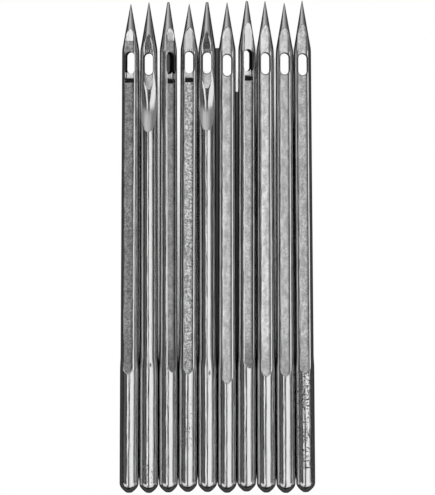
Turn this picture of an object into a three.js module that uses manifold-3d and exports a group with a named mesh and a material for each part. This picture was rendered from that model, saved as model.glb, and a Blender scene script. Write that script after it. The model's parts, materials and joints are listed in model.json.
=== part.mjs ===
// Ten loose awl needles for hand stitching leather and canvas, laid side by side in a row
// with their points one way. Each needle is one piece of steel: a round shank for the awl's
// chuck, a slightly thinner blade with a long groove down its front, an eye near the point,
// and a short groove and a hollow-ground scarf on its back.
//
// A needle lies along +Y with its point at the far end, +X is to the right and +Z is up.
import * as THREE from 'three';
import { mergeVertices, toCreasedNormals } from 'three/addons/utils/BufferGeometryUtils.js';
import Module from 'manifold-3d';

const wasm = await Module();
wasm.setup();

// Sizes are in millimetres.
const needleLength = 60.5;

// The butt is a blunt cone with a small flat end, eased into the shank.
const buttEndDiameter = 0.5;
const buttLength = 0.86;
const buttEasing = 0.3;

const shankDiameter = 2.38;
const shankLength = 15.1;
const shoulderLength = 1.85;
const bladeRootDiameter = 2.22;

// The blade thins a little on its way to the point, which is a long plain cone.
const bladeDiameter = 2.13;
const pointLength = 5.85;

// The eye is placed by its middle.
const eyeToTip = 7.55;
const eyeLength = 2.65;
const eyeWidth = 1.07;

// A groove's depth is taken from the blade's surface at the foot of the point. Its floor is
// flat from its foot to its head, and past them it rises to the surface on the arc of the
// milling cutter.
const longGrooveWidth = 1.17;
const longGrooveDepth = 0.545;
const shoulderToLongGroove = 2.85;
const eyeToLongGrooveHead = 3.5;
const footCutterRadius = 20;
const headCutterRadius = 6;

const shortGrooveWidth = 1.2;
const shortGrooveDepth = 0.42;
const eyeToShortGrooveHead = 3.35;

// The scarf is a shallow hollow, ground right across the back by the flat rim of a wheel, on
// the side of the eye away from the point.
const scarfToEye = 4.5;
const scarfLength = 7.8;
const scarfDepth = 0.55;

// Some needles have a ramp that leads the thread from the long groove into the eye.
const rampLength = 1.03;
const rampDepth = 0.3;

// The end of a point: its radius, and how far it bulges where it is worn round.
const sharpTip = { radius: 0.055, bulge: 0 };
const bluntTip = { radius: 0.16, bulge: 0.14 };
const croppedTip = { radius: 0.16, bulge: 0 };

// Neighbouring shanks all but touch.
const shankGap = 0.035;

// How each needle lies, from left to right. Its roll about its own axis is 0 with the long
// groove up and 180 with the scarf up, its lean is to the right of straight ahead, both in
// degrees, and its slide is towards the points. Grinding leaves each point a little shorter
// or longer than the next, by its excess. The cuts were set by hand, so each needle's eye,
// with the scarf, its grooves' heads and its long groove's foot stand a little nearer to the
// point than usual, or, below 0, farther from it.
const lays = [
  { roll: -10, lean: 0.22, slide: -0.05, excess: -0.18, tip: sharpTip, ramp: true,
    eye: 0.11, head: -0.2, foot: 0 },
  { roll: 180, lean: 0.02, slide: -0.06, excess: 0.06, tip: sharpTip, ramp: false,
    eye: -0.05, head: -0.4, foot: 0 },
  { roll: 26, lean: 0, slide: 0, excess: 0.04, tip: bluntTip, ramp: true,
    eye: 0, head: -0.5, foot: 0.2 },
  { roll: 4, lean: 0.18, slide: 0.06, excess: -0.29, tip: sharpTip, ramp: true,
    eye: 0.07, head: 0, foot: -0.05 },
  { roll: 180, lean: -0.06, slide: 0.05, excess: -0.01, tip: croppedTip, ramp: false,
    eye: 0, head: 0.4, foot: 0 },
  { roll: 0, lean: 0, slide: -0.04, excess: 0.02, tip: sharpTip, ramp: false,
    eye: -0.18, head: 0.15, foot: -1.15 },
  { roll: 18, lean: 0.03, slide: 0.11, excess: 0.06, tip: bluntTip, ramp: true,
    eye: 0.24, head: 0.6, foot: 0.6 },
  { roll: 1, lean: -0.16, slide: -0.02, excess: 0.17, tip: sharpTip, ramp: false,
    eye: 0, head: 0.6, foot: -0.3 },
  { roll: -1, lean: -0.2, slide: -0.06, excess: -0.03, tip: sharpTip, ramp: false,
    eye: 0, head: 0, foot: -0.25 },
  { roll: 0, lean: -0.44, slide: 0.03, excess: 0.18, tip: sharpTip, ramp: false,
    eye: -0.18, head: 0.65, foot: 0 },
];

// Round surfaces are drawn with flat sides, and arcs with straight steps.
const roundSides = 32;
const arcSteps = 4;
const wheelSteps = 96;

const shankRadius = shankDiameter / 2;
const bladeRadius = bladeDiameter / 2;

// The usual heights along a needle, from its butt end.
const pointFoot = needleLength - pointLength;
const eyeHeight = needleLength - eyeToTip;
const shortGrooveHead = eyeHeight + eyeToShortGrooveHead;
const longGrooveHead = eyeHeight + eyeToLongGrooveHead;
const longGrooveFoot = shankLength + shoulderLength + shoulderToLongGroove;

// How far a cutting solid reaches past what it cuts.
const overrun = 1;

// A closed solid for joining and cutting, from a geometry's faces.
function solidOf(geometry) {
  const bare = geometry.clone();
  bare.deleteAttribute('normal');
  bare.deleteAttribute('uv');
  const merged = mergeVertices(bare, 1e-5);
  const corners = Array.from(merged.index.array);
  const faces = [];
  for (let i = 0; i < corners.length; i += 3) {
    const face = corners.slice(i, i + 3);
    const hasArea = new Set(face).size === 3;
    if (hasArea) faces.push(...face);
  }
  return new wasm.Manifold(new wasm.Mesh({
    numProp: 3,
    vertProperties: merged.attributes.position.array,
    triVerts: new Uint32Array(faces),
  }));
}

function geometryOf(solid) {
  const mesh = solid.getMesh();
  const geometry = new THREE.BufferGeometry();
  geometry.setAttribute('position', new THREE.BufferAttribute(mesh.vertProperties, 3));
  geometry.setIndex(new THREE.BufferAttribute(mesh.triVerts, 1));
  return toCreasedNormals(geometry, THREE.MathUtils.degToRad(30));
}

// The needle before its grooves are cut: a revolve about its axis. A flat side of it faces
// straight down once the needle is rolled, so that it rests as steadily as a round one.
function blank(lay) {
  const length = needleLength + lay.excess;
  const tip = lay.tip;
  const rootRadius = bladeRootDiameter / 2;
  const shoulderMiddle = shankLength + shoulderLength / 2;
  const profile = new THREE.Path();
  profile.moveTo(0, 0);
  profile.lineTo(buttEndDiameter / 2, 0);
  const coneShare = 1 - buttEasing / buttLength;
  const easedRadius = THREE.MathUtils.lerp(buttEndDiameter / 2, shankRadius, coneShare);
  profile.lineTo(easedRadius, buttLength - buttEasing);
  profile.quadraticCurveTo(shankRadius, buttLength, shankRadius, buttLength + buttEasing);
  profile.lineTo(shankRadius, shankLength);
  profile.bezierCurveTo(
    shankRadius, shoulderMiddle, rootRadius, shoulderMiddle,
    rootRadius, shankLength + shoulderLength,
  );
  profile.lineTo(bladeRadius, pointFoot);
  profile.lineTo(tip.radius, length - tip.bulge);
  if (tip.bulge > 0) profile.quadraticCurveTo(tip.radius, length, 0, length);
  else profile.lineTo(0, length);
  const halfSide = Math.PI / roundSides;
  const turnedBack = halfSide - THREE.MathUtils.degToRad(lay.roll);
  return solidOf(new THREE.LatheGeometry(
    profile.getPoints(arcSteps), roundSides, turnedBack, 2 * Math.PI,
  ));
}

// A cutter whose outline is drawn from the side, with its height along the needle first and
// its distance in front of the axis second, and which is as wide across the needle as given.
function sideCutter(outline, width) {
  const geometry = new THREE.ExtrudeGeometry(outline, {
    depth: width, bevelEnabled: false, curveSegments: arcSteps,
  });
  geometry.translate(0, 0, -width / 2);
  const alongNeedle = new THREE.Vector3(0, 1, 0);
  const outOfFront = new THREE.Vector3(0, 0, 1);
  const acrossNeedle = new THREE.Vector3(1, 0, 0);
  geometry.applyMatrix4(new THREE.Matrix4().makeBasis(alongNeedle, outOfFront, acrossNeedle));
  return solidOf(geometry);
}

// How far round a cutter's rim its cut leaves the solid, when it rises by the given height.
function leavingAngle(cutterRadius, rise) {
  return Math.acos(1 - rise / cutterRadius);
}

function longGroove(foot, head) {
  const floor = bladeRadius - longGrooveDepth;
  const rise = shankRadius + overrun - floor;
  const down = -Math.PI / 2;
  const outline = new THREE.Shape();
  outline.absarc(
    foot, floor + footCutterRadius, footCutterRadius,
    down - leavingAngle(footCutterRadius, rise), down, false,
  );
  outline.absarc(
    head, floor + headCutterRadius, headCutterRadius,
    down, down + leavingAngle(headCutterRadius, rise), false,
  );
  return sideCutter(outline, longGrooveWidth);
}

// The short groove, on the back, ends in the scarf's hollow.
function shortGroove(scarfMiddle, head) {
  const floor = bladeRadius - shortGrooveDepth;
  const rise = bladeRadius + overrun - floor;
  const up = Math.PI / 2;
  const outline = new THREE.Shape();
  outline.absarc(
    head, -floor - headCutterRadius, headCutterRadius,
    up - leavingAngle(headCutterRadius, rise), up, false,
  );
  outline.lineTo(scarfMiddle, -floor);
  outline.lineTo(scarfMiddle, -floor - rise);
  return sideCutter(outline, shortGrooveWidth);
}

// The eye goes right through, between the floors of the two grooves.
function eye(middle) {
  const round = eyeWidth / 2;
  const straight = eyeLength / 2 - round;
  const outline = new THREE.Shape();
  outline.absarc(0, middle + straight, round, 0, Math.PI, false);
  outline.absarc(0, middle - straight, round, Math.PI, 2 * Math.PI, false);
  const thickness = 2 * (bladeRadius + overrun);
  const geometry = new THREE.ExtrudeGeometry(outline, {
    depth: thickness, bevelEnabled: false, curveSegments: arcSteps,
  });
  geometry.translate(0, 0, -thickness / 2);
  return solidOf(geometry);
}

// The grinding wheel's radius follows from the length and the depth of its cut.
function scarf(middle) {
  const radius = (scarfLength / 2) ** 2 / (2 * scarfDepth) + scarfDepth / 2;
  const width = 2 * (bladeRadius + overrun);
  const wheel = new THREE.CylinderGeometry(radius, radius, width, wheelSteps);
  wheel.rotateZ(Math.PI / 2);
  wheel.translate(0, middle, -(bladeRadius - scarfDepth + radius));
  return solidOf(wheel);
}

// The ramp drops steeply at its foot and flattens towards the eye.
function threadRamp(eyeMiddle) {
  const floor = bladeRadius - longGrooveDepth;
  const bottom = floor - rampDepth;
  const eyeFoot = eyeMiddle - eyeLength / 2;
  const foot = eyeFoot - rampLength;
  const insideEye = eyeFoot + eyeWidth / 2;
  const outline = new THREE.Shape();
  outline.moveTo(foot, floor);
  outline.quadraticCurveTo((foot + eyeFoot) / 2, bottom, eyeFoot, bottom);
  outline.lineTo(insideEye, bottom);
  outline.lineTo(insideEye, floor + longGrooveDepth);
  outline.lineTo(foot, floor + longGrooveDepth);
  return sideCutter(outline, eyeWidth);
}

function needle(lay) {
  const eyeMiddle = eyeHeight + lay.eye;
  const scarfMiddle = eyeMiddle - scarfToEye;
  const solid = blank(lay)
    .subtract(longGroove(longGrooveFoot + lay.foot, longGrooveHead + lay.head))
    .subtract(shortGroove(scarfMiddle, shortGrooveHead + lay.head))
    .subtract(scarf(scarfMiddle))
    .subtract(eye(eyeMiddle));
  return geometryOf(lay.ramp ? solid.subtract(threadRamp(eyeMiddle)) : solid);
}

function steel() {
  return new THREE.MeshStandardMaterial({ color: 0x8d8f91, roughness: 0.3, metalness: 1 });
}

// Each needle leans about the middle of its shank, so that leaning shanks stay clear.
const row = new THREE.Group();
const pitch = shankDiameter + shankGap;
lays.forEach((lay, i) => {
  const mesh = new THREE.Mesh(needle(lay), steel());
  mesh.name = `needle_${String(i + 1).padStart(2, '0')}`;
  mesh.rotation.y = THREE.MathUtils.degToRad(lay.roll);
  mesh.position.y = -shankLength / 2;
  const place = new THREE.Group();
  place.position.set((i - (lays.length - 1) / 2) * pitch, lay.slide, 0);
  place.rotation.z = -THREE.MathUtils.degToRad(lay.lean);
  place.add(mesh);
  row.add(place);
});

// The origin is the middle of the row, on the surface that the needles lie on.
row.updateMatrixWorld(true);
const extent = new THREE.Box3().setFromObject(row, true);
const middle = extent.getCenter(new THREE.Vector3());
row.position.set(-middle.x, -middle.y, -extent.min.z);

const needles = new THREE.Group();
needles.add(row);

export default needles;
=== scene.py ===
"""Ten loose steel needles for a stitching awl, lying in a row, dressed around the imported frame.

Lengths are in metres and angles in radians, as Blender keeps them. A needle is first made in
its own frame, with its butt end at the origin, its point along +Y and its long groove facing
+Z, and is then laid where the frame's needle lies.
"""

import json
import math
from functools import partial

import bpy
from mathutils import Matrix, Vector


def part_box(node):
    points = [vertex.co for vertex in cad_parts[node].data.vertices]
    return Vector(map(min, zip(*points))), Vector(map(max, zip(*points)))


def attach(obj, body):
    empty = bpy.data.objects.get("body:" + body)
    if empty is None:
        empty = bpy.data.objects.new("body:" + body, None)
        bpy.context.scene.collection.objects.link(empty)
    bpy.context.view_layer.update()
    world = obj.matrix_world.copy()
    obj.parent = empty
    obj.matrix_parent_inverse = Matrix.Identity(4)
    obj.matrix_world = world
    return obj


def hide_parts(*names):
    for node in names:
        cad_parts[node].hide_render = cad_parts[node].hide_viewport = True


bl_info = {
    "name": "Stitching awl needles",
    "version": (1, 0, 0),
    "blender": (4, 5, 0),
    "location": "3D View > Sidebar > Awl needles",
    "description": "Makes a row of loose steel needles for a stitching awl, and its studio",
    "category": "Add Mesh",
}

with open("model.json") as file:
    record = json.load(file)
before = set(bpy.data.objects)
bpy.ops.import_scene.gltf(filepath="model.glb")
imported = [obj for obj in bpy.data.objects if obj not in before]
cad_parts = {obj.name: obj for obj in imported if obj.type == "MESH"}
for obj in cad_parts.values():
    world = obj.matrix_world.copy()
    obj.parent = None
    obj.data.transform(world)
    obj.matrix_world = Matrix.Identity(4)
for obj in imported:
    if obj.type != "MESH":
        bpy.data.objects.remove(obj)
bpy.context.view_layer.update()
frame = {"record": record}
mounts = {mount["name"]: mount for mount in frame["record"]["mounts"]}

MM = 0.001
MATH = "ShaderNodeMath"
MAP = "ShaderNodeMapRange"

# The frame's shanks have flats, which are this far apart, and a round shank just fits between
# them.
shank_low, shank_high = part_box("needle_06")
SHANK_DIAMETER = shank_high.z - shank_low.z

# How far hand finishing leaves the round skin below true.
UNEVENNESS = 0.006 * MM

# The end of a point: its radius, and the length over which it is rounded.
SHARP = (0.055 * MM, 0.04 * MM)
WORN = (0.16 * MM, 0.14 * MM)
CROPPED = (0.16 * MM, 0.02 * MM)

# What is each needle's own, from left to right, and what is usual. Its roll in degrees: 0
# with the long groove up, 180 with the scarf up. In millimetres how much longer its point is,
# and how much nearer to the point its eye, its grooves' heads and its long groove's foot
# stand. Its tip, and whether it has a thread ramp. How bright its milled floors are, which on
# the first, third and seventh needles, rolled furthest, is painted shade, and how strongly
# they are mottled. The height above which its long groove's floor is polished, which is
# usually past its tip. Between which heights its shank is pitted, and how much. The height
# of a dent in its back. At 0 the dent misses the narrow butt, so there is none.
USUAL = {
    "excess": 0, "eye": 0, "head": 0, "foot": 0, "tip": SHARP, "ramp": 0, "tone": 1.0,
    "mottle": 0.3, "shine": 61, "pits": (0, 0, 0), "dent": 0,
}
NEEDLES = [
    {"roll": -10, "excess": -0.18, "eye": 0.11, "head": -0.2, "ramp": 1, "tone": 0.5,
     "mottle": 0.8, "shine": 55.8},
    {"roll": 177, "excess": 0.06, "eye": -0.05, "head": -0.2, "tone": 0.9, "mottle": 0.5,
     "pits": (1, 4, 0.6), "dent": 15.9},
    {"roll": 26, "excess": 0.04, "head": -0.5, "foot": 0.2, "tip": WORN, "ramp": 1,
     "tone": 0.5, "mottle": 0.5, "shine": 55.8},
    {"roll": 4, "excess": -0.29, "eye": 0.07, "foot": -0.05, "ramp": 1, "mottle": 1.0,
     "shine": 54, "pits": (5, 12, 0.6)},
    {"roll": 177, "excess": -0.01, "head": 0.4, "tip": CROPPED, "mottle": 0.4, "dent": 14.8},
    {"roll": 2.5, "excess": 0.02, "eye": -0.18, "head": 0.15, "foot": -1.15, "tone": 0.9},
    {"roll": 18, "excess": 0.06, "eye": 0.24, "head": 0.6, "foot": 0.6, "tip": WORN,
     "ramp": 1, "tone": 0.65, "mottle": 0.5, "shine": 54},
    {"roll": 3, "excess": 0.17, "head": 0.6, "foot": -0.3},
    {"roll": 2.5, "excess": -0.03, "foot": -0.25, "tone": 0.8},
    {"roll": 2, "excess": 0.18, "eye": -0.18, "head": 0.65, "tone": 0.8, "mottle": 0.5,
     "pits": (3, 15, 1)},
]

# A needle's skin is a grid: rings along it, and in each ring the steps of half a section,
# from the middle of the front over lip and flank to the middle of the back.
RINGS = 600
FLOOR_STEPS = 12
LIP_STEPS = 10
FLANK_STEPS = 26
HALF_STEPS = 2 * FLOOR_STEPS + 2 * LIP_STEPS + FLANK_STEPS

# The eye's cutter: steps around it and rings through the needle.
EYE_STEPS = 64
EYE_RINGS = 31

# The share of a lip's steps that climb the groove's wall. The others lead over the lip.
WALL_SHARE = 0.3

# The share of a groove's width in which its floor is flat. The rest curves up to the walls.
FLAT_SHARE = 0.7

# The share of a groove's width past which painted shade darkens its floor towards one wall.
UNSHADED_SHARE = 0.4

# How softly a floor or the scarf runs out on the skin.
EASING = 0.08 * MM

# An edge that turns more than this stays sharp.
SHARP_EDGE = math.radians(40)


def linear(code):
    """sRGB hex to the linear red, green and blue that Blender's colours hold."""
    channels = [int(code[i:i + 2], 16) / 255 for i in (1, 3, 5)]
    return tuple(c / 12.92 if c <= 0.04045 else ((c + 0.055) / 1.055) ** 2.4 for c in channels)


def length_of(name, description, millimetres):
    """A length that a user may change."""
    return bpy.props.FloatProperty(
        name=name, description=description, default=millimetres * MM,
        min=0.0, unit="LENGTH", precision=5,
    )


def colour_of(name, description, code):
    """A colour that a user may change."""
    return bpy.props.FloatVectorProperty(
        name=name, description=description, subtype="COLOR", size=3,
        min=0.0, max=1.0, default=linear(code),
    )


class NeedleSizes(bpy.types.PropertyGroup):
    """The sizes that the needles share. Heights are from the butt end."""

    length: length_of("Length", "From the butt end to the tip", 60.5)
    butt_end: length_of("Butt end", "Radius of the flat end of the butt", 0.22)
    butt_length: length_of("Butt length", "Length of the butt's blunt cone", 0.86)
    butt_easing: length_of("Butt easing", "How softly the cone meets the shank", 0.4)
    shank: length_of("Shank", "Radius of the shank", (SHANK_DIAMETER / 2 - UNEVENNESS) / MM)
    shank_length: length_of("Shank length", "Height of the foot of the shoulder", 15.1)
    shoulder_length: length_of("Shoulder length", "Length of the shoulder", 1.85)
    blade_root: length_of("Blade root", "Radius of the blade at the shoulder", 1.105)
    blade: length_of("Blade", "Radius of the blade at the foot of the point", 1.06)
    point_length: length_of("Point length", "Length of the point's cone", 5.85)
    point_easing: length_of("Point easing", "How softly the point meets the blade", 0.08)
    eye_height: length_of("Eye height", "Height of the middle of the eye", 52.95)
    eye_length: length_of("Eye length", "Length of the eye", 2.65)
    eye_width: length_of("Eye width", "Width of the eye", 1.07)
    eye_rim: length_of("Eye rim", "Rounding of the eye's rims", 0.1)
    long_width: length_of("Long groove width", "Width of the floor", 1.1)
    long_depth: length_of("Long groove depth", "Depth of the floor", 0.545)
    long_foot: length_of("Long groove foot", "Where the floor's flat part begins", 19.8)
    long_head: length_of("Long groove head", "Where the floor's flat part ends", 56.45)
    short_width: length_of("Short groove width", "Width of the floor", 1.15)
    short_depth: length_of("Short groove depth", "Depth of the floor", 0.285)
    short_head: length_of("Short groove head", "Where the floor's flat part ends", 56.3)
    foot_cutter: length_of("Foot cutter", "Radius of the cutter at the groove's foot", 20)
    head_cutter: length_of("Head cutter", "Radius of the cutter at the grooves' heads", 6)
    corner: length_of("Groove corner", "How far a floor rises to its walls", 0.05)
    lip: length_of("Lip", "Width of the worn lip along a groove", 0.28)
    lip_wear: length_of("Lip wear", "How far a lip is worn down at its edge", 0.075)
    ridge_slope: bpy.props.FloatProperty(
        name="Ridge slope", description="How steeply the blade's back falls from its ridge",
        default=0.14,
    )
    ridge_width: length_of("Ridge width", "Half the width over which the ridge is rounded", 0.17)
    scarf_height: length_of("Scarf height", "Height of the middle of the scarf", 48.86)
    scarf_depth: length_of("Scarf depth", "Depth of the hollow", 0.295)
    scarf_wheel: length_of("Scarf wheel", "Radius of the grinding wheel", 14.1)
    scarf_travel: length_of("Scarf travel", "How far the wheel goes to either side", 0.77)
    scarf_crown: length_of("Scarf crown", "Radius of the face beside its flat middle", 1.25)
    ramp_length: length_of("Ramp length", "Length of the thread ramp below the eye", 1.15)
    ramp_depth: length_of("Ramp depth", "Depth of the thread ramp at the eye", 0.42)
    ramp_slope: bpy.props.FloatProperty(
        name="Ramp slope", description="How steeply the ramp falls from its foot", default=0.7,
    )


class SteelColours(bpy.types.PropertyGroup):
    """The colours of the needles' finishes and of the sheet that they lie on."""

    drawn: colour_of("Drawn steel", "Shank, blade and lips", "#c6c6c6")
    milled: colour_of("Milled steel", "Floors of the grooves", "#f4f4f4")
    ground: colour_of("Ground steel", "Point and scarf", "#c6c6c6")
    # A dark colour for the inside of the eye and its rims, which draws a dark outline round the
    # eye.
    scale: colour_of("Scale", "Inside of the eye", "#565656")
    pit: colour_of("Pits", "Pits and specks in the steel", "#484848")
    sheet: colour_of("Sheet", "The sheet under the needles", "#505050")


class StudioSettings(bpy.types.PropertyGroup):
    """Where the camera and the lights hang, and how bright the room is around them."""

    camera_height: bpy.props.FloatProperty(
        name="Camera height", description="From the needles' axes", default=0.5, unit="LENGTH",
    )
    picture_height: bpy.props.FloatProperty(
        name="Picture height", description="How much the picture takes in from top to bottom",
        default=61.12 * MM, unit="LENGTH", precision=5,
    )
    light_height: bpy.props.FloatProperty(
        name="Light height", description="From the sheet to the lights", default=0.8,
        unit="LENGTH",
    )
    room: bpy.props.FloatProperty(
        name="Room", description="Brightness of the room that the steel mirrors", default=0.03,
    )


def add(tree, kind, inputs=(), **settings):
    """Adds a node, makes its settings and fills its live inputs, by order or by name.

    A value is a constant, a socket, or a node, which stands for its first live output.
    """
    node = tree.nodes.new(kind)
    for name, value in settings.items():
        setattr(node, name, value)
    for key, value in inputs.items() if isinstance(inputs, dict) else enumerate(inputs):
        live = [socket for socket in node.inputs if socket.enabled]
        socket = live[key] if isinstance(key, int) else next(s for s in live if s.name == key)
        if isinstance(value, bpy.types.Node):
            value = next(output for output in value.outputs if output.enabled)
        if isinstance(value, bpy.types.NodeSocket):
            tree.links.new(value, socket)
        else:
            socket.default_value = value
    return node


def other_leg(node, longest, leg):
    """The other leg of a right triangle, or 0 where the leg is too long for one."""
    longest_squared = node(MATH, (longest, longest), operation="MULTIPLY")
    leg_squared = node(MATH, (leg, leg), operation="MULTIPLY")
    left = node(MATH, (longest_squared, leg_squared), operation="SUBTRACT")
    left = node(MATH, (left, 0.0), operation="MAXIMUM")
    return node(MATH, (left,), operation="SQRT")


def run_out(node, past, radius):
    """How far a round cutter has risen at a distance past the end of its flat cut."""
    past = node(MATH, (past, 0.0), operation="MAXIMUM")
    under_hub = other_leg(node, radius, past)
    return node(MATH, (radius, under_hub), operation="SUBTRACT")


def groove_edge(node, radius, floor, width):
    """The angle from the middle of a groove to its edge, at its wall or where its floor runs
    out on the round skin. It never closes quite, so that the skin's steps keep a width."""
    least_angle = 0.3
    reach = other_leg(node, radius, floor)
    half_width = node(MATH, (width, 0.5), operation="MULTIPLY")
    reach = node(MATH, (reach, half_width), operation="MINIMUM")
    share = node(MATH, (reach, radius), operation="DIVIDE")
    share = node(MATH, (share, 1.0), operation="MINIMUM")
    angle = node(MATH, (share,), operation="ARCSINE")
    return node(MATH, (angle, least_angle), operation="MAXIMUM")


def step_evenly(node, along, stops):
    """A value that climbs evenly from stop to stop. A stop is a share of the way and the
    value there."""
    value = stops[0][1]
    for (share, start), (next_share, end) in zip(stops, stops[1:]):
        climb = node(MATH, (end, start), operation="SUBTRACT")
        climb = node(MAP, (along, share, next_share, 0.0, climb))
        value = node(MATH, (value, climb), operation="ADD")
    return value


def ring_heights(node, length):
    """Where the rings stand: closest at the tip, close at the butt, at the long groove's foot
    and at the working end."""
    tip_length = 0.3 * MM
    tip_foot = node(MATH, (length, tip_length), operation="SUBTRACT")
    stops = ((0.0, 0.0), (0.08, 1.6 * MM), (0.12, 13 * MM), (0.32, 21 * MM), (0.45, 44 * MM),
             (0.96, tip_foot), (1.0, length))
    return step_evenly(node, node("GeometryNodeSplineParameter"), stops)


def skin_radius(node, given, height, length):
    """The radius of the round skin: butt, shank, shoulder, blade and point."""
    rounded_share = 0.95
    bulging = 0.7
    shoulder_top = node(MATH, (given["Shank length"], given["Shoulder length"]), operation="ADD")
    point_foot = node(MATH, (given["Length"], given["Point length"]), operation="SUBTRACT")
    bulge_foot = node(MATH, (length, given["Tip bulge"]), operation="SUBTRACT")
    butt = node(MAP, (height, 0.0, given["Butt length"], 0.0, 1.0), clamp=False)
    butt = node(MATH, (butt, bulging), operation="POWER")
    butt_widening = node(MATH, (given["Shank"], given["Butt end"]), operation="SUBTRACT")
    butt = node(MATH, (butt, butt_widening, given["Butt end"]), operation="MULTIPLY_ADD")
    body = node(
        MAP, (height, given["Shank length"], shoulder_top, given["Shank"], given["Blade root"]),
        interpolation_type="SMOOTHSTEP",
    )
    thinning = node(MATH, (given["Blade"], given["Blade root"]), operation="SUBTRACT")
    thinning = node(MAP, (height, shoulder_top, point_foot, 0.0, thinning))
    body = node(MATH, (body, thinning), operation="ADD")
    point = node(MAP, (height, point_foot, bulge_foot, given["Blade"], given["Tip radius"]),
                 clamp=False)
    radius = node(MATH, (butt, body, given["Butt easing"]), operation="SMOOTH_MIN")
    radius = node(MATH, (radius, point, given["Point easing"]), operation="SMOOTH_MIN")
    rounding = node(MAP, (height, bulge_foot, length, 0.0, rounded_share))
    rounding = node(MATH, (rounding, rounding), operation="MULTIPLY")
    rounding = node(MATH, (1.0, rounding), operation="SUBTRACT")
    rounding = node(MATH, (rounding,), operation="SQRT")
    return node(MATH, (radius, rounding), operation="MULTIPLY")


def past_middle(node, across, width):
    """The distance from a middle line, which grows slowly within a width and then evenly."""
    across = node(MATH, (across, across), operation="MULTIPLY")
    reach = node(MATH, (width, width, across), operation="MULTIPLY_ADD")
    reach = node(MATH, (reach,), operation="SQRT")
    return node(MATH, (reach, width), operation="SUBTRACT")


def ridge_fall(node, across, width, slope):
    """How far a softly ridged face has fallen at a distance from the ridge's middle line."""
    turned = node(MATH, (across, width), operation="DIVIDE")
    turned = node(MATH, (turned,), operation="ARCTANGENT")
    turned = node(MATH, (turned, width), operation="MULTIPLY")
    fall = node(MATH, (across, turned), operation="SUBTRACT")
    return node(MATH, (fall, slope), operation="MULTIPLY")


def ridged_back(node, given, height, radius, across, up):
    """Draws the blade's round back to a soft ridge, and then moves the section forward, so
    that the ridge runs on straight from the back of the shank."""
    widest_share = 0.4
    shoulder_top = node(MATH, (given["Shank length"], given["Shoulder length"]), operation="ADD")
    slope = node(MAP, (height, given["Shank length"], shoulder_top, 0.0, given["Ridge slope"]),
                 interpolation_type="SMOOTHSTEP")
    widest = node(MATH, (radius, widest_share), operation="MULTIPLY")
    width = node(MATH, (given["Ridge width"], widest), operation="MINIMUM")
    across = node(MATH, (across,), operation="ABSOLUTE")
    whole = ridge_fall(node, radius, width, slope)
    fall = ridge_fall(node, across, width, slope)
    standing = node(MATH, (whole, fall), operation="SUBTRACT")
    behind = node(MATH, (up, 0.0), operation="LESS_THAN")
    standing = node(MATH, (standing, behind), operation="MULTIPLY")
    ridge = node(MATH, (radius, whole), operation="ADD")
    blade_or_thicker = node(MATH, (radius, given["Blade"]), operation="MAXIMUM")
    line = node(MATH, (given["Shank"], UNEVENNESS), operation="ADD")
    line = node(MATH, (line, radius), operation="MULTIPLY")
    line = node(MATH, (line, blade_or_thicker), operation="DIVIDE")
    forward = node(MATH, (ridge, line), operation="SUBTRACT")
    forward = node(MATH, (forward, 0.0), operation="MAXIMUM")
    up = node(MATH, (up, standing), operation="SUBTRACT")
    return node(MATH, (up, forward), operation="ADD")


def uneven(node, given, radius):
    """The round skin with the slight waves that grinding by hand leaves in it, and a dent from
    the jaws that held the needle while it was ground."""
    wave_length = 2.5 * MM
    drawn_out = (1.0, 0.25, 1.0)
    dent_across = -0.62 * MM
    dent_up = -1.0 * MM
    dent_radius = 0.38 * MM
    dent_depth = 0.12 * MM
    place = node("GeometryNodeInputPosition")
    stretched = node("ShaderNodeVectorMath", (place, drawn_out), operation="MULTIPLY")
    waves = node(
        "ShaderNodeTexNoise",
        {"Vector": stretched, "W": given["Seed"], "Scale": 1 / wave_length, "Detail": 1.0},
        noise_dimensions="4D",
    )
    waves = node(MAP, (waves, 0.2, 0.8, -UNEVENNESS, UNEVENNESS))
    radius = node(MATH, (radius, waves), operation="ADD")
    dent = node("ShaderNodeCombineXYZ", (dent_across, given["Dent height"], dent_up))
    distance = node("ShaderNodeVectorMath", (place, dent), operation="DISTANCE")
    depth = node(MAP, (distance.outputs["Value"], 0.0, dent_radius, dent_depth, 0.0),
                 interpolation_type="SMOOTHSTEP")
    return node(MATH, (radius, depth), operation="SUBTRACT")


def scarf_face(node, given, height, across):
    """How far the scarf's face lies behind the axis. A wheel travels along it a little, and
    buffing then rounds it across, but leaves a flat middle that is widest towards the eye."""
    flat_middle = 0.116 * MM
    widening = 0.132
    least_width = 0.02 * MM
    off_middle = node(MATH, (height, given["Scarf height"]), operation="SUBTRACT")
    width = node(MATH, (off_middle, widening, flat_middle), operation="MULTIPLY_ADD")
    width = node(MATH, (width, least_width), operation="MAXIMUM")
    crown = past_middle(node, across, width)
    crown = node(MATH, (crown, crown), operation="MULTIPLY")
    crown = node(MATH, (crown, given["Scarf crown"]), operation="DIVIDE")
    off_middle = node(MATH, (off_middle,), operation="ABSOLUTE")
    past_travel = node(MATH, (off_middle, given["Scarf travel"]), operation="SUBTRACT")
    rise = run_out(node, past_travel, given["Scarf wheel"])
    middle = node(MATH, (given["Blade"], given["Scarf depth"]), operation="SUBTRACT")
    face = node(MATH, (middle, rise), operation="ADD")
    return node(MATH, (crown, -0.5, face), operation="MULTIPLY_ADD")


def floor_corner(node, given, radius, floor, off_middle):
    """How far a milled floor has risen towards its wall, less where the groove runs out."""
    full_depth = 0.4 * MM
    groove_depth = node(MATH, (radius, floor), operation="SUBTRACT")
    most = node(MAP, (groove_depth, 0.0, full_depth, 0.0, given["Groove corner"]))
    rise = node(MAP, (off_middle, FLAT_SHARE, 1.0, 0.0, 1.0))
    rise = node(MATH, (rise, rise), operation="MULTIPLY")
    return node(MATH, (rise, most), operation="MULTIPLY")


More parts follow.
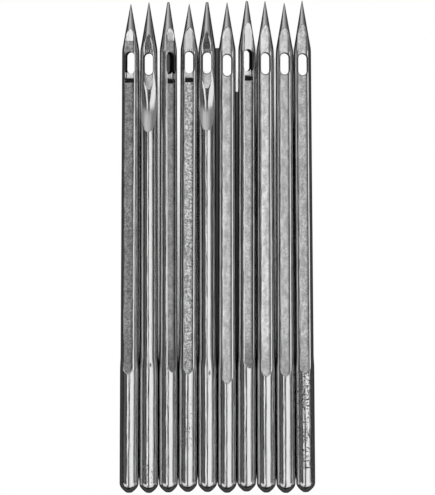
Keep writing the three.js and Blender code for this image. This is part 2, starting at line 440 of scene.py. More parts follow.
def lip_fall(node, given, radius, floor, share_left):
    """How far a groove's worn lip lies below the skin, less where the groove runs out."""
    most_of_depth = 0.3
    groove_depth = node(MATH, (radius, floor), operation="SUBTRACT")
    most = node(MATH, (groove_depth, most_of_depth), operation="MULTIPLY")
    most = node(MATH, (most, 0.0), operation="MAXIMUM")
    fall = node(MATH, (most, given["Lip wear"]), operation="MINIMUM")
    fall = node(MATH, (fall, share_left), operation="MULTIPLY")
    return node(MATH, (fall, share_left), operation="MULTIPLY")


def ramp_drop(node, given, height, off_middle):
    """How far the thread ramp lies below the long groove's floor: steep at its foot, level at
    the eye, and nothing in the step beside the wall."""
    easing = 0.12 * MM
    last_step = 1 - 1.1 / FLOOR_STEPS
    half_eye = node(MATH, (given["Eye length"], 0.5), operation="MULTIPLY")
    eye_foot = node(MATH, (given["Eye height"], half_eye), operation="SUBTRACT")
    foot = node(MATH, (eye_foot, given["Ramp length"]), operation="SUBTRACT")
    drop = node(MATH, (height, foot), operation="SUBTRACT")
    drop = node(MATH, (drop, 0.0), operation="MAXIMUM")
    drop = node(MATH, (drop, given["Ramp slope"]), operation="MULTIPLY")
    drop = node(MATH, (drop, given["Ramp depth"], easing), operation="SMOOTH_MIN")
    drop = node(MATH, (drop, given["Ramp"]), operation="MULTIPLY")
    below_middle = node(MATH, (height, given["Eye height"]), operation="LESS_THAN")
    drop = node(MATH, (drop, below_middle), operation="MULTIPLY")
    beside = node(MAP, (off_middle, last_step, 1.0, 1.0, 0.0))
    return node(MATH, (drop, beside), operation="MULTIPLY")


def make_grid(node, length):
    """A tube of rings swept along the axis. It keeps how high each of its points stands, and
    how far round the section it is, from 0 to 1."""
    tip = node("ShaderNodeCombineXYZ", {"Y": length})
    rail = node("GeometryNodeCurvePrimitiveLine", {"End": tip})
    rail = node("GeometryNodeResampleCurve", {"Curve": rail, "Count": RINGS})
    rail = node("GeometryNodeStoreNamedAttribute",
                {"Geometry": rail, "Name": "height", "Value": ring_heights(node, length)})
    ring = node("GeometryNodeCurvePrimitiveCircle", {"Resolution": 2 * HALF_STEPS, "Radius": MM})
    ring = node("GeometryNodeStoreNamedAttribute",
                {"Geometry": ring, "Name": "turn", "Value": node("GeometryNodeSplineParameter")})
    skin = node("GeometryNodeCurveToMesh",
                {"Curve": rail, "Profile Curve": ring, "Fill Caps": True})
    height = node("GeometryNodeInputNamedAttribute", {"Name": "height"})
    turn = node("GeometryNodeInputNamedAttribute", {"Name": "turn"})
    return skin, height, turn


def around_axis(node, angle, radius):
    """How far across and how far up from the axis the skin is at an angle from the front."""
    sine = node(MATH, (angle,), operation="SINE")
    cosine = node(MATH, (angle,), operation="COSINE")
    across = node(MATH, (sine, radius), operation="MULTIPLY")
    up = node(MATH, (cosine, radius), operation="MULTIPLY")
    return across, up


def milled_floor(node, given, groove, height):
    """How far from the axis a groove's floor lies: its flat part, and the floor with the rise
    at its head."""
    flat = node(MATH, (given["Blade"], given[groove + " depth"]), operation="SUBTRACT")
    past_head = node(MATH, (height, given[groove + " head"]), operation="SUBTRACT")
    rise = run_out(node, past_head, given["Head cutter"])
    return flat, node(MATH, (flat, rise), operation="ADD")


def halve_section(node, turn):
    """The side of the section that a point is on, -1 or 1, and how far it is through each
    stretch from the front to the back: floor, lip, flank, lip and floor."""
    side = node(MATH, (turn, 0.5), operation="LESS_THAN")
    side = node(MATH, (side, 2.0, -1.0), operation="MULTIPLY_ADD")
    half = node(MATH, (turn, 0.5), operation="PINGPONG")
    half = node(MATH, (half, 2.0 * HALF_STEPS), operation="MULTIPLY")
    steps = (0, FLOOR_STEPS, LIP_STEPS, FLANK_STEPS, LIP_STEPS, FLOOR_STEPS)
    ends = [float(sum(steps[:i + 1])) for i in range(len(steps))]
    return side, [node(MAP, (half, start, end, 0.0, 1.0)) for start, end in zip(ends, ends[1:])]


def press_section(node, given, height, turn, radius):
    """Works out where the round skin's points go when grooves and scarf are pressed in.
    Returns their places, masks for the finishes, and how far from the axis the flat parts of
    the two floors lie."""
    scarf_trace = 0.01 * MM
    groove_trace = 0.02 * MM
    ramp_trace = 0.005 * MM
    wall_foot = 0.5 / LIP_STEPS

    # The two floors. The long one rises at its foot too, and the short one opens in the scarf.
    long_floor, front = milled_floor(node, given, "Long groove", height)
    short_floor, back = milled_floor(node, given, "Short groove", height)
    before_foot = node(MATH, (given["Long groove foot"], height), operation="SUBTRACT")
    foot_rise = run_out(node, before_foot, given["Foot cutter"])
    front = node(MATH, (front, foot_rise), operation="ADD")
    into_scarf = node(MATH, (given["Scarf height"], MM), operation="ADD")
    closing = node(MAP, (height, given["Scarf height"], into_scarf, MM, 0.0))
    back = node(MATH, (back, closing), operation="ADD")
    front_edge = groove_edge(node, radius, front, given["Long groove width"])
    back_edge = groove_edge(node, radius, back, given["Short groove width"])

    # The angle round the axis. A lip climbs its wall first and then leads over the skin.
    side, stretches = halve_section(node, turn)
    on_front, on_front_lip, on_flank, on_back_lip, on_back = stretches
    lip = node(MATH, (given["Lip"], radius), operation="DIVIDE")
    flank = node(MATH, (math.pi, front_edge), operation="SUBTRACT")
    flank = node(MATH, (flank, back_edge), operation="SUBTRACT")
    flank = node(MATH, (lip, -2.0, flank), operation="MULTIPLY_ADD")
    front_wall = node(MAP, (on_front_lip, 0.0, WALL_SHARE, 1.0, 0.0))
    front_over = node(MAP, (on_front_lip, WALL_SHARE, 1.0, 0.0, 1.0))
    back_over = node(MAP, (on_back_lip, 0.0, 1 - WALL_SHARE, 0.0, 1.0))
    back_wall = node(MAP, (on_back_lip, 1 - WALL_SHARE, 1.0, 0.0, 1.0))
    angle = node(MATH, (front_edge, on_front), operation="MULTIPLY")
    for width, share in ((lip, front_over), (flank, on_flank), (lip, back_over),
                         (back_edge, on_back)):
        angle = node(MATH, (width, share, angle), operation="MULTIPLY_ADD")
    across, round_up = around_axis(node, angle, radius)
    across = node(MATH, (across, side), operation="MULTIPLY")
    round_up = ridged_back(node, given, height, radius, across, round_up)

    # Up from the axis: the worn lips, then the two floors, then the scarf.
    front_left = node(MATH, (1.0, front_over), operation="SUBTRACT")
    front_fall = lip_fall(node, given, radius, front, front_left)
    back_fall = lip_fall(node, given, radius, back, back_over)
    up = node(MATH, (round_up, front_fall), operation="SUBTRACT")
    up = node(MATH, (up, back_fall), operation="ADD")
    ramp = ramp_drop(node, given, height, on_front)
    corner = floor_corner(node, given, radius, front, on_front)
    front = node(MATH, (front, ramp), operation="SUBTRACT")
    front = node(MATH, (front, corner), operation="ADD")
    front = node(MATH, (round_up, front, EASING), operation="SMOOTH_MIN")
    up = node("ShaderNodeMix", (front_wall, up, front))
    off_back = node(MATH, (1.0, on_back), operation="SUBTRACT")
    corner = floor_corner(node, given, radius, back, off_back)
    back = node(MATH, (back, corner), operation="ADD")
    back = node(MATH, (back, -1.0), operation="MULTIPLY")
    back = node(MATH, (round_up, back, EASING), operation="SMOOTH_MAX")
    up = node("ShaderNodeMix", (back_wall, up, back))
    scarf = scarf_face(node, given, height, across)
    scarf = node(MATH, (scarf, -1.0), operation="MULTIPLY")
    scarf_depth = node(MATH, (scarf, up), operation="SUBTRACT")
    groove_depth = node(MATH, (round_up, up), operation="SUBTRACT")
    groove_depth = node(MATH, (groove_depth,), operation="ABSOLUTE")
    up = node(MATH, (up, scarf, EASING), operation="SMOOTH_MAX")

    # The masks. The thread ramp and the short groove above the eye are polished by the thread,
    # so they aren't matt.
    point_foot = node(MATH, (given["Length"], given["Point length"]), operation="SUBTRACT")
    on_point = node(MATH, (height, point_foot), operation="GREATER_THAN")
    in_scarf = node(MATH, (scarf_depth, scarf_trace), operation="GREATER_THAN")
    on_front_floor = node(MATH, (on_front_lip, wall_foot), operation="LESS_THAN")
    on_back_floor = node(MATH, (on_back_lip, 1 - wall_foot), operation="GREATER_THAN")
    on_floor = node(MATH, (on_front_floor, on_back_floor), operation="ADD")
    in_groove = node(MATH, (groove_depth, groove_trace), operation="GREATER_THAN")
    in_groove = node(MATH, (in_groove, on_floor), operation="MULTIPLY")
    on_ramp = node(MATH, (ramp, ramp_trace), operation="GREATER_THAN")
    behind = node(MATH, (up, 0.0), operation="LESS_THAN")
    past_eye = node(MATH, (height, given["Eye height"]), operation="GREATER_THAN")
    past_eye = node(MATH, (behind, past_eye), operation="MULTIPLY")
    shining = node(MATH, (height, given["Shine from"]), operation="GREATER_THAN")
    polished = node(MATH, (on_ramp, past_eye), operation="MAXIMUM")
    polished = node(MATH, (polished, shining), operation="MAXIMUM")
    matt = node(MATH, (in_groove, polished), operation="SUBTRACT")
    # Painted shade: the floors darken towards the wall on one side, as if that wall hid the right
    # soft box from them.
    grime = node(MATH, (on_front, off_back), operation="MINIMUM")
    grime = node(MAP, (grime, UNSHADED_SHARE, 1.0, 0.0, 1.0))
    shaded_side = node(MATH, (side, 0.0), operation="GREATER_THAN")
    grime = node(MATH, (grime, shaded_side), operation="MULTIPLY")
    masks = {"ground": on_point, "milled": matt, "scarf": in_scarf, "grime": grime}
    place = node("ShaderNodeCombineXYZ", {"X": across, "Y": height, "Z": up})
    return place, masks, (long_floor, short_floor)


def lay_finishes(node, skin, finishes):
    """Gives each stretch of the skin its finish, the scarf last, because it was ground after
    the grooves were milled."""
    skin = node("GeometryNodeSetMaterial", {"Geometry": skin, "Material": finishes["drawn"]})
    for mask, finish in (("ground", "ground"), ("milled", "milled"), ("scarf", "ground")):
        there = node("GeometryNodeInputNamedAttribute", {"Name": mask})
        there = node("FunctionNodeCompare", (there, 0.5), operation="GREATER_THAN")
        skin = node("GeometryNodeSetMaterial",
                    {"Geometry": skin, "Selection": there, "Material": finishes[finish]})
    return skin


def keep_marks(node, given, needle):
    """Keeps what the patterns read: the place on the needle in millimetres, far from the other
    needles' places, and how bright, how mottled and how pitted the steel is there. Past the
    eye the floors' brightness is raised as painted light."""
    spacing = 100.0
    painted_light_gain = 1.3
    place = node("GeometryNodeInputPosition")
    height = node("ShaderNodeSeparateXYZ", (place,)).outputs["Y"]
    grain = node("ShaderNodeVectorMath", {0: place, "Scale": 1 / MM}, operation="SCALE")
    apart = node(MATH, (given["Seed"], spacing), operation="MULTIPLY")
    apart = node("ShaderNodeCombineXYZ", {"X": apart})
    grain = node("ShaderNodeVectorMath", (grain, apart), operation="ADD")
    # Painted light: past the eye the floors are painted brighter, where the walls grow low
    # towards the point and would let more light onto them.
    painted_light_tone = node(MATH, (given["Tone"], painted_light_gain), operation="MULTIPLY")
    past_eye = node(MATH, (height, given["Eye height"]), operation="GREATER_THAN")
    tone = node("ShaderNodeMix", (past_eye, given["Tone"], painted_light_tone))
    above = node(MATH, (height, given["Pits from"]), operation="GREATER_THAN")
    below = node(MATH, (height, given["Pits to"]), operation="LESS_THAN")
    pitted = node(MATH, (above, below), operation="MULTIPLY")
    pitted = node(MATH, (pitted, given["Pits"]), operation="MULTIPLY")
    marks = (("grain", "FLOAT_VECTOR", grain), ("tone", "FLOAT", tone),
             ("mottle", "FLOAT", given["Mottle"]), ("pits", "FLOAT", pitted))
    for name, kind, value in marks:
        needle = node("GeometryNodeStoreNamedAttribute",
                      {"Geometry": needle, "Name": name, "Value": value}, data_type=kind)
    return needle


def make_needle_tree(values, finishes):
    """Grows one needle from its sizes: a skin of rings with its grooves and scarf pressed in,
    through which the eye is cut. It has an input for each of a needle's values."""
    tree = bpy.data.node_groups.new("Awl needle", "GeometryNodeTree")
    kinds = {"Butt place": "NodeSocketVector", "Turn": "NodeSocketRotation"}
    for name in values:
        kind = kinds.get(name, "NodeSocketFloat")
        tree.interface.new_socket(name, in_out="INPUT", socket_type=kind)
    tree.interface.new_socket("Needle", in_out="OUTPUT", socket_type="NodeSocketGeometry")
    node = partial(add, tree)
    given = node("NodeGroupInput").outputs

    # First the round skin, evenly stepped, for its waves.
    length = node(MATH, (given["Length"], given["Excess"]), operation="ADD")
    skin, height, turn = make_grid(node, length)
    radius = skin_radius(node, given, height, length)
    angle = node(MATH, (turn, math.tau), operation="MULTIPLY")
    across, up = around_axis(node, angle, radius)
    place = node("ShaderNodeCombineXYZ", {"X": across, "Y": height, "Z": up})
    skin = node("GeometryNodeSetPosition", {"Geometry": skin, "Position": place})
    skin = node("GeometryNodeStoreNamedAttribute",
                {"Geometry": skin, "Name": "radius", "Value": uneven(node, given, radius)})
    radius = node("GeometryNodeInputNamedAttribute", {"Name": "radius"})

    # Then grooves and scarf, with the masks that the finishes go by.
    place, masks, floors = press_section(node, given, height, turn, radius)
    for name, mask in masks.items():
        skin = node("GeometryNodeStoreNamedAttribute",
                    {"Geometry": skin, "Name": name, "Value": mask})
    skin = node("GeometryNodeSetPosition", {"Geometry": skin, "Position": place})
    skin = lay_finishes(node, skin, finishes)

    # The eye goes through all of it.
    eye = eye_cutter(node, given, floors)
    eye = node("GeometryNodeSetMaterial", {"Geometry": eye, "Material": finishes["dark_eye"]})
    needle = node("GeometryNodeMeshBoolean", {"Mesh 1": skin, "Mesh 2": eye},
                  operation="DIFFERENCE", solver="MANIFOLD")
    needle = keep_marks(node, given, needle)
    edge = node("GeometryNodeInputMeshEdgeAngle")
    edge = node("FunctionNodeCompare", (edge, SHARP_EDGE), operation="GREATER_THAN")
    needle = node("GeometryNodeSetShadeSmooth", {"Geometry": needle, "Shade Smooth": True})
    needle = node("GeometryNodeSetShadeSmooth",
                  {"Geometry": needle, "Selection": edge, "Shade Smooth": False}, domain="EDGE")

    # Last it is laid in its place.
    needle = node("GeometryNodeTransform",
                  {"Geometry": needle, "Translation": given["Butt place"],
                   "Rotation": given["Turn"]})
    needle = node("GeometryNodeRealizeInstances", (needle,))
    node("NodeGroupOutput", {"Needle": needle})
    return tree


def eye_cutter(node, given, floors):
    """A long round-ended bar through the needle, flared where it leaves either floor, which is
    where its rings stand closest."""
    reach = 1.4 * MM
    rim = given["Eye rim"]
    front, back = floors
    back = node(MATH, (back, -1.0), operation="MULTIPLY")
    back_inside = node(MATH, (back, rim), operation="ADD")
    front_inside = node(MATH, (front, rim), operation="SUBTRACT")
    stops = ((0.0, -reach), (0.1, back), (0.4, back_inside), (0.6, front_inside), (0.9, front),
             (1.0, reach))
    level = step_evenly(node, node("GeometryNodeSplineParameter"), stops)
    top = node("ShaderNodeCombineXYZ", {"Z": reach})
    bar = node("GeometryNodeCurvePrimitiveLine", {"End": top})
    bar = node("GeometryNodeResampleCurve", {"Curve": bar, "Count": EYE_RINGS})
    bar = node("GeometryNodeStoreNamedAttribute",
               {"Geometry": bar, "Name": "level", "Value": level})
    ring = node("GeometryNodeCurvePrimitiveCircle", {"Resolution": EYE_STEPS, "Radius": 1.0})
    ring = node("GeometryNodeStoreNamedAttribute",
                {"Geometry": ring, "Name": "round", "Value": node("GeometryNodeInputPosition")},
                data_type="FLOAT_VECTOR")
    bar = node("GeometryNodeCurveToMesh",
               {"Curve": bar, "Profile Curve": ring, "Fill Caps": True})

    level = node("GeometryNodeInputNamedAttribute", {"Name": "level"})
    front_past = node(MATH, (level, front_inside), operation="SUBTRACT")
    back_past = node(MATH, (back_inside, level), operation="SUBTRACT")
    flares = [run_out(node, past, rim) for past in (front_past, back_past)]
    flare = node(MATH, flares, operation="ADD")
    end = node(MATH, (given["Eye width"], 0.5), operation="MULTIPLY")
    straight = node(MATH, (given["Eye length"], 0.5), operation="MULTIPLY")
    straight = node(MATH, (straight, end), operation="SUBTRACT")
    end = node(MATH, (end, flare), operation="ADD")
    around = node("GeometryNodeInputNamedAttribute", {"Name": "round"},
                  data_type="FLOAT_VECTOR")
    around = node("ShaderNodeSeparateXYZ", (around,))
    across = node(MATH, (around.outputs["X"], end), operation="MULTIPLY")
    half = node(MATH, (around.outputs["Y"],), operation="SIGN")
    shift = node(MATH, (half, straight, given["Eye height"]), operation="MULTIPLY_ADD")
    height = node(MATH, (around.outputs["Y"], end, shift), operation="MULTIPLY_ADD")
    place = node("ShaderNodeCombineXYZ", {"X": across, "Y": height, "Z": level})
    return node("GeometryNodeSetPosition", {"Geometry": bar, "Position": place})


def new_finish(name, colour, roughness):
    """A metal finish, what adds nodes to it, its shader, and the place on the needle in
    millimetres, which its patterns follow."""
    material = bpy.data.materials.new(name)
    material.use_nodes = True
    tree = material.node_tree
    shader = tree.nodes["Principled BSDF"]
    shader.inputs["Metallic"].default_value = 1.0
    shader.inputs["Roughness"].default_value = roughness
    shader.inputs["Base Color"].default_value = (*colour, 1.0)
    node = partial(add, tree)
    place = node("ShaderNodeAttribute", attribute_name="grain").outputs["Vector"]
    return material, node, shader, place


def feed(shader, name, output):
    """Links an output to the shader's socket of a name."""
    shader.id_data.links.new(output, shader.inputs[name])


def fine_lines(node, place, width):
    """Lines along the needle, about as wide as given in millimetres."""
    drawn_out = (1.0, 0.03, 1.0)
    place = node("ShaderNodeMapping", {"Vector": place, "Scale": drawn_out})
    return node("ShaderNodeTexNoise", {"Vector": place, "Scale": 1 / width, "Detail": 3.0})


def drawn_steel(colours):
    """Carbon steel wire, drawn and tumbled bright: clear reflections, broken up by fine
    streaks from the die and by knocks, and a few dark pits where rust has been polished away."""
    material, node, shader, place = new_finish("Drawn steel", colours.drawn, 0.15)
    # Real streaks are about 0.02 mm wide, too fine to show, so they are drawn coarser.
    streak_width = 0.1
    knock_size = 0.3
    pit_size = 0.2
    streak_depth = 0.012 * MM
    knock_depth = 0.008 * MM
    pit_depth = 0.03 * MM
    pit_roughness = 0.3
    pit_wall = 0.05
    unpitted, fully_pitted = 0.7, 0.54
    smoothest, roughest = 0.09, 0.18
    streaks = fine_lines(node, place, streak_width)
    knocks = node("ShaderNodeTexNoise",
                  {"Vector": place, "Scale": 1 / knock_size, "Detail": 3.0, "Roughness": 0.6})
    pits = node("ShaderNodeTexNoise",
                {"Vector": place, "Scale": 1 / pit_size, "Detail": 4.0, "Roughness": 0.6})
    worn = node("ShaderNodeAttribute", attribute_name="pits").outputs["Fac"]
    threshold = node(MAP, (worn, 0.0, 1.0, unpitted, fully_pitted))
    depth = node(MATH, (pits, threshold), operation="SUBTRACT")
    depth = node(MAP, (depth, 0.0, pit_wall, 0.0, 1.0))
    colour = node("ShaderNodeMix", (depth, (*colours.drawn, 1.0), (*colours.pit, 1.0)),
                  data_type="RGBA")
    feed(shader, "Base Color", colour.outputs[2])
    roughness = node(MAP, (streaks, 0.3, 0.7, smoothest, roughest))
    roughness = node("ShaderNodeMix", (depth, roughness, pit_roughness))
    feed(shader, "Roughness", roughness.outputs[0])
    bump = node("ShaderNodeBump", {"Strength": 1.0, "Distance": streak_depth, "Height": streaks})
    bump = node("ShaderNodeBump", {"Strength": 1.0, "Distance": knock_depth, "Height": knocks,
                                   "Normal": bump})
    bump = node("ShaderNodeBump", {"Strength": 1.0, "Distance": pit_depth, "Height": depth,
                                   "Normal": bump}, invert=True)
    feed(shader, "Normal", bump.outputs[0])
    return material


def dark_eye_steel(colours):
    """Dark steel for the inside of the eye and its rounded rims, which draws a dark outline round
    the eye.
    """
    return new_finish("Scaled steel", colours.scale, 0.45)[0]


def milled_steel(colours):
    """Steel milled with a small cutter and tumbled: light and half matt, mottled with shallow
    tears that catch the light one by one and with wider patches that wear has left, and
    darkened with painted shade along one wall, where that wall would hide the right soft box."""
    material, node, shader, place = new_finish("Milled steel", colours.milled, 0.3)
    # Real tears are about 0.05 mm, too fine to show, so they are drawn coarser.
    tear_size = 0.2
    tear_depth = 0.08 * MM
    patch_size = 0.6
    patch_shape = (1.0, 0.5, 1.0)
    torn_lightness = 0.3
    wall_shade_lightness = 0.1
    darkest_patch, lightest_patch = 0.75, 1.1
    tone = node("ShaderNodeAttribute", attribute_name="tone").outputs["Fac"]
    mottle = node("ShaderNodeAttribute", attribute_name="mottle").outputs["Fac"]
    tears = node("ShaderNodeTexNoise",
                 {"Vector": place, "Scale": 1 / tear_size, "Detail": 3.0, "Roughness": 0.6})
    patches = node("ShaderNodeMapping", {"Vector": place, "Scale": patch_shape})
    patches = node("ShaderNodeTexNoise",
                   {"Vector": patches, "Scale": 1 / patch_size, "Detail": 2.0})
    fleck = node(MAP, (tears, 0.4, 0.6, 0.0, 1.0))
    fleck = node(MATH, (fleck, mottle), operation="MULTIPLY")
    lightness = node(MAP, (fleck, 0.0, 1.0, 1.0, torn_lightness))
    # The needle's tone: painted shade on the most rolled needles, and painted light past the eye.
    lightness = node(MATH, (lightness, tone), operation="MULTIPLY")
    patches = node(MAP, (patches, 0.35, 0.65, darkest_patch, lightest_patch))
    lightness = node(MATH, (lightness, patches), operation="MULTIPLY")
    # Painted shade towards one wall of the floor.
    grime = node("ShaderNodeAttribute", attribute_name="grime").outputs["Fac"]
    grime = node(MAP, (grime, 0.0, 1.0, 1.0, wall_shade_lightness))
    lightness = node(MATH, (lightness, grime), operation="MULTIPLY")
    colour = node("ShaderNodeVectorMath", {0: colours.milled, "Scale": lightness},
                  operation="SCALE")
    feed(shader, "Base Color", colour.outputs["Vector"])
    relief = node(MATH, (tears, mottle), operation="MULTIPLY")
    bump = node("ShaderNodeBump", {"Strength": 1.0, "Distance": tear_depth, "Height": relief})
    feed(shader, "Normal", bump.outputs[0])
    return material


def ground_steel(colours):
    """Steel ground on a fine wheel and buffed: smooth, with faint lines along the needle."""
    material, node, shader, place = new_finish("Ground steel", colours.ground, 0.16)
    # Real grinding lines are about 0.02 mm wide, too fine to show, so they are drawn coarser.
    line_width = 0.12
    line_depth = 0.0015 * MM
    smoothest, roughest = 0.12, 0.2
    lines = fine_lines(node, place, line_width)
    roughness = node(MAP, (lines, 0.3, 0.7, smoothest, roughest))
    feed(shader, "Roughness", roughness.outputs[0])
    bump = node("ShaderNodeBump", {"Strength": 1.0, "Distance": line_depth, "Height": lines})
    feed(shader, "Normal", bump.outputs[0])
    return material


# Where the sheet lies in the needles' shade, as left, right, near and far edges in
# millimetres: in two gaps, and under the slanting eye of the third needle. And how much of its
# whiteness is left there.
SHADED = ((-0.6, 0.6, -29.2, 24.6), (1.8, 3.0, -29.2, 19.2), (-6.7, -5.4, 21.2, 24.4))
SHADE = 0.07


def white_sheet(colours):
    """Matt white paper. The camera sees it burnt out to an even white, as in the photograph,
    but dark in the narrow gaps between needles, where hardly any light gets down to it."""
    gap_reach = 3 * MM
    least_open, most_open = 0.1, 0.14
    material = bpy.data.materials.new("White sheet")
    material.use_nodes = True
    tree = material.node_tree
    shader = tree.nodes["Principled BSDF"]
    shader.inputs["Base Color"].default_value = (*colours.sheet, 1.0)
    shader.inputs["Roughness"].default_value = 0.8
    node = partial(add, tree)
    open_sky = node("ShaderNodeAmbientOcclusion", {"Distance": gap_reach}, samples=64)
    lit = node(MAP, (open_sky.outputs["AO"], least_open, most_open, 0.0, 1.0))
    place = node("ShaderNodeTexCoord").outputs["Object"]
    place = node("ShaderNodeSeparateXYZ", (place,))
    for left, right, near, far in SHADED:
        sides = ((place.outputs["X"], left, "GREATER_THAN"),
                 (place.outputs["X"], right, "LESS_THAN"),
                 (place.outputs["Y"], near, "GREATER_THAN"),
                 (place.outputs["Y"], far, "LESS_THAN"))
        within = 1.0
        for coordinate, edge, comparison in sides:
            inside = node(MATH, (coordinate, edge * MM), operation=comparison)
            within = node(MATH, (within, inside), operation="MULTIPLY")
        seen_share = node(MATH, (within, SHADE - 1.0, 1.0), operation="MULTIPLY_ADD")
        lit = node(MATH, (lit, seen_share), operation="MULTIPLY")
    burnt_out = node("ShaderNodeEmission", {"Strength": lit})
    seen = node("ShaderNodeLightPath").outputs["Is Camera Ray"]
    surface = node("ShaderNodeMixShader", (seen, shader, burnt_out))
    tree.links.new(surface.outputs[0], tree.nodes["Material Output"].inputs["Surface"])
    return material


class AWLNEEDLES_OT_make_needles(bpy.types.Operator):
    """Make the ten needles, each lying where the frame's needle lies"""

    bl_idname = "awlneedles.make_needles"
    bl_label = "Make the needles"

    def execute(self, context):
        sizes = context.scene.awl_needle_sizes
        colours = context.scene.awl_needle_colours
        finishes = {
            "drawn": drawn_steel(colours),
            "milled": milled_steel(colours),
            "ground": ground_steel(colours),
            "dark_eye": dark_eye_steel(colours),
        }
        shared = {prop.name: getattr(sizes, prop.identifier)
                  for prop in NeedleSizes.bl_rna.properties if prop.type == "FLOAT"}
        needles = [{**shared, **own_values(number, {**USUAL, **own}, sizes)}
                   for number, own in enumerate(NEEDLES, start=1)]
        tree = make_needle_tree(needles[0], finishes)
        for number, values in enumerate(needles, start=1):
            make_needle(context, tree, f"needle_{number:02d}", values)
        return {"FINISHED"}


def own_values(number, own, sizes):
    """What one needle gives the tree: its place and turn from the frame, and its own marks."""
    seat = mounts[f"butt_seat_{number:02d}"]
    lean = math.atan2(-seat["axis"][0], -seat["axis"][1])
    tip_radius, tip_bulge = own["tip"]
    pits_from, pits_to, pits = own["pits"]
    return {
        "Butt place": (seat["pos_m"][0], seat["pos_m"][1], SHANK_DIAMETER / 2),
        "Turn": (0.0, math.radians(own["roll"]), -lean),
        "Eye height": sizes.eye_height + own["eye"] * MM,
        "Scarf height": sizes.scarf_height + own["eye"] * MM,
        "Long groove head": sizes.long_head + own["head"] * MM,
        "Short groove head": sizes.short_head + own["head"] * MM,
        "Long groove foot": sizes.long_foot + own["foot"] * MM,
        "Excess": own["excess"] * MM,
        "Tip radius": tip_radius,
        "Tip bulge": tip_bulge,
        "Ramp": float(own["ramp"]),
        "Shine from": own["shine"] * MM,
        "Seed": float(number),
        "Tone": own["tone"],
        "Mottle": own["mottle"],
        "Pits from": pits_from * MM,
        "Pits to": pits_to * MM,
        "Pits": float(pits),
        "Dent height": own["dent"] * MM,
    }


def make_needle(context, tree, name, values):
    """One needle as a plain mesh, riding with the frame in place of the frame's needle."""
    seed = bpy.data.objects.new(name + "_seed", bpy.data.meshes.new(name + "_seed"))
    context.collection.objects.link(seed)
    modifier = seed.modifiers.new("Awl needle", "NODES")
    modifier.node_group = tree
    for item in tree.interface.items_tree:
        if item.in_out == "INPUT":
            modifier[item.identifier] = values[item.name]
    evaluated = seed.evaluated_get(context.evaluated_depsgraph_get())
    mesh = bpy.data.meshes.new_from_object(evaluated)
    bpy.data.objects.remove(seed)
    if not mesh.polygons:
        raise RuntimeError(f"{name} came out empty")
    mesh.name = "steel_" + name
    needle = bpy.data.objects.new("steel_" + name, mesh)
    context.collection.objects.link(needle)
    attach(needle, "root")
    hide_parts(name)


# The lights are level soft boxes. Each is given by where its face begins and ends, across and
# along the row in shares of its height above the sheet, and by how bright it is.
SOFT_BOXES = {
    "Left strip": {"across": (-0.466, -0.213), "along": (-0.8, 0.16), "brightness": 1.7},
    "Left room": {"across": (-2.2, -0.8), "along": (-0.35, 0.16), "brightness": 0.12},
    "Right box": {"across": (0.096, 1.235), "along": (-0.8, 0.16), "brightness": 1.4},
    "Right edge": {"across": (1.235, 2.4), "along": (-0.3, 0.16), "brightness": 0.3},
    "Far room": {"across": (-3.0, -1.2), "along": (0.2, 1.1), "brightness": 0.45},
    "Far left box": {"across": (-1.2, -0.3), "along": (0.2, 1.1), "brightness": 0.85},
    "Far middle box": {"across": (-0.3, 0.1), "along": (0.2, 1.1), "brightness": 0.75},
    "Far right box": {"across": (0.1, 0.45), "along": (0.2, 1.1), "brightness": 0.55},
    "Far edge": {"across": (0.45, 3.0), "along": (0.2, 1.1), "brightness": 0.3},
    "Near left box": {"across": (-3.0, -0.5), "along": (-2.4, -0.35), "brightness": 1.1},
    "Near right box": {"across": (0.1, 3.0), "along": (-2.4, -0.82), "brightness": 1.2},
    "Near edge": {"across": (1.235, 3.0), "along": (-0.8, -0.3), "brightness": 1.2},
}


class AWLNEEDLES_OT_make_stage(bpy.types.Operator):
    """Make the sheet under the needles, the soft boxes, the room and the camera"""

    bl_idname = "awlneedles.make_stage"
    bl_label = "Make the stage"

    def execute(self, context):
        settings = context.scene.awl_needle_studio
        make_sheet(context, context.scene.awl_needle_colours)
        for name, box in SOFT_BOXES.items():
            hang_soft_box(context, name, box, settings.light_height)
        make_room(context, settings.room)
        set_camera(context, settings)
        context.scene.view_settings.view_transform = "Standard"
        return {"FINISHED"}


def make_sheet(context, colours):
    """A sheet so large that no view from above the needles shows its edges."""
    reach = 3.0
    corners = [(-reach, -reach, 0), (reach, -reach, 0), (reach, reach, 0), (-reach, reach, 0)]
    mesh = bpy.data.meshes.new("sheet")
    mesh.from_pydata(corners, [], [(0, 1, 2, 3)])
    mesh.materials.append(white_sheet(colours))
    sheet = bpy.data.objects.new("sheet", mesh)
    context.collection.objects.link(sheet)


def hang_soft_box(context, name, box, height):
    """A level light that the camera doesn't see. Its power grows with its face."""
    left, right = (height * share for share in box["across"])
    near, far = (height * share for share in box["along"])
    light = bpy.data.lights.new(name, "AREA")
    light.shape = "RECTANGLE"
    light.size = right - left
    light.size_y = far - near
    light.energy = box["brightness"] * math.pi * light.size * light.size_y
    lamp = bpy.data.objects.new(name, light)
    lamp.location = ((left + right) / 2, (near + far) / 2, height)
    lamp.visible_camera = False
    context.collection.objects.link(lamp)


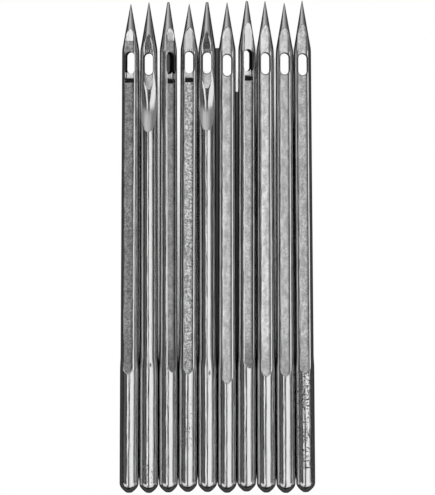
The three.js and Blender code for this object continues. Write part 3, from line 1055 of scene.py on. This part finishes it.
def make_room(context, brightness):
    """A dim room for the steel to mirror, which the camera sees nearly as pale as the sheet."""
    seen_brightness = 0.9
    world = bpy.data.worlds.new("Room")
    world.use_nodes = True
    tree = world.node_tree
    tree.nodes.clear()
    ray = add(tree, "ShaderNodeLightPath").outputs["Is Camera Ray"]
    level = add(tree, "ShaderNodeMix", (ray, brightness, seen_brightness))
    background = add(tree, "ShaderNodeBackground", {"Strength": level})
    add(tree, "ShaderNodeOutputWorld", {"Surface": background})
    context.scene.world = world


def set_camera(context, settings):
    """Straight above the row, and so far up that the needles show without perspective."""
    off_middle = (0.014 * MM, -0.09 * MM)
    camera = bpy.data.cameras.new("Camera")
    camera.lens = camera.sensor_width * settings.camera_height / settings.picture_height
    camera.sensor_fit = "AUTO"
    camera.clip_end = 100.0
    viewer = bpy.data.objects.new("Camera", camera)
    viewer.location = (*off_middle, SHANK_DIAMETER / 2 + settings.camera_height)
    context.collection.objects.link(viewer)
    context.scene.camera = viewer


class AWLNEEDLES_PT_panel(bpy.types.Panel):
    """The needles' sizes and colours, and what makes them"""

    bl_idname = "AWLNEEDLES_PT_panel"
    bl_label = "Stitching awl needles"
    bl_space_type = "VIEW_3D"
    bl_region_type = "UI"
    bl_category = "Awl needles"

    def draw(self, context):
        scene = context.scene
        self.layout.operator(AWLNEEDLES_OT_make_needles.bl_idname)
        self.layout.operator(AWLNEEDLES_OT_make_stage.bl_idname)
        for group in (scene.awl_needle_sizes, scene.awl_needle_colours, scene.awl_needle_studio):
            column = self.layout.column(align=True)
            for prop in group.bl_rna.properties:
                if prop.type == "FLOAT":
                    column.prop(group, prop.identifier)


CLASSES = (
    NeedleSizes,
    SteelColours,
    StudioSettings,
    AWLNEEDLES_OT_make_needles,
    AWLNEEDLES_OT_make_stage,
    AWLNEEDLES_PT_panel,
)


def register():
    for cls in CLASSES:
        bpy.utils.register_class(cls)
    bpy.types.Scene.awl_needle_sizes = bpy.props.PointerProperty(type=NeedleSizes)
    bpy.types.Scene.awl_needle_colours = bpy.props.PointerProperty(type=SteelColours)
    bpy.types.Scene.awl_needle_studio = bpy.props.PointerProperty(type=StudioSettings)


def unregister():
    del bpy.types.Scene.awl_needle_studio
    del bpy.types.Scene.awl_needle_colours
    del bpy.types.Scene.awl_needle_sizes
    for cls in reversed(CLASSES):
        bpy.utils.unregister_class(cls)


def main():
    register()
    bpy.ops.awlneedles.make_needles()
    bpy.ops.awlneedles.make_stage()


if __name__ == "__main__":
    main()
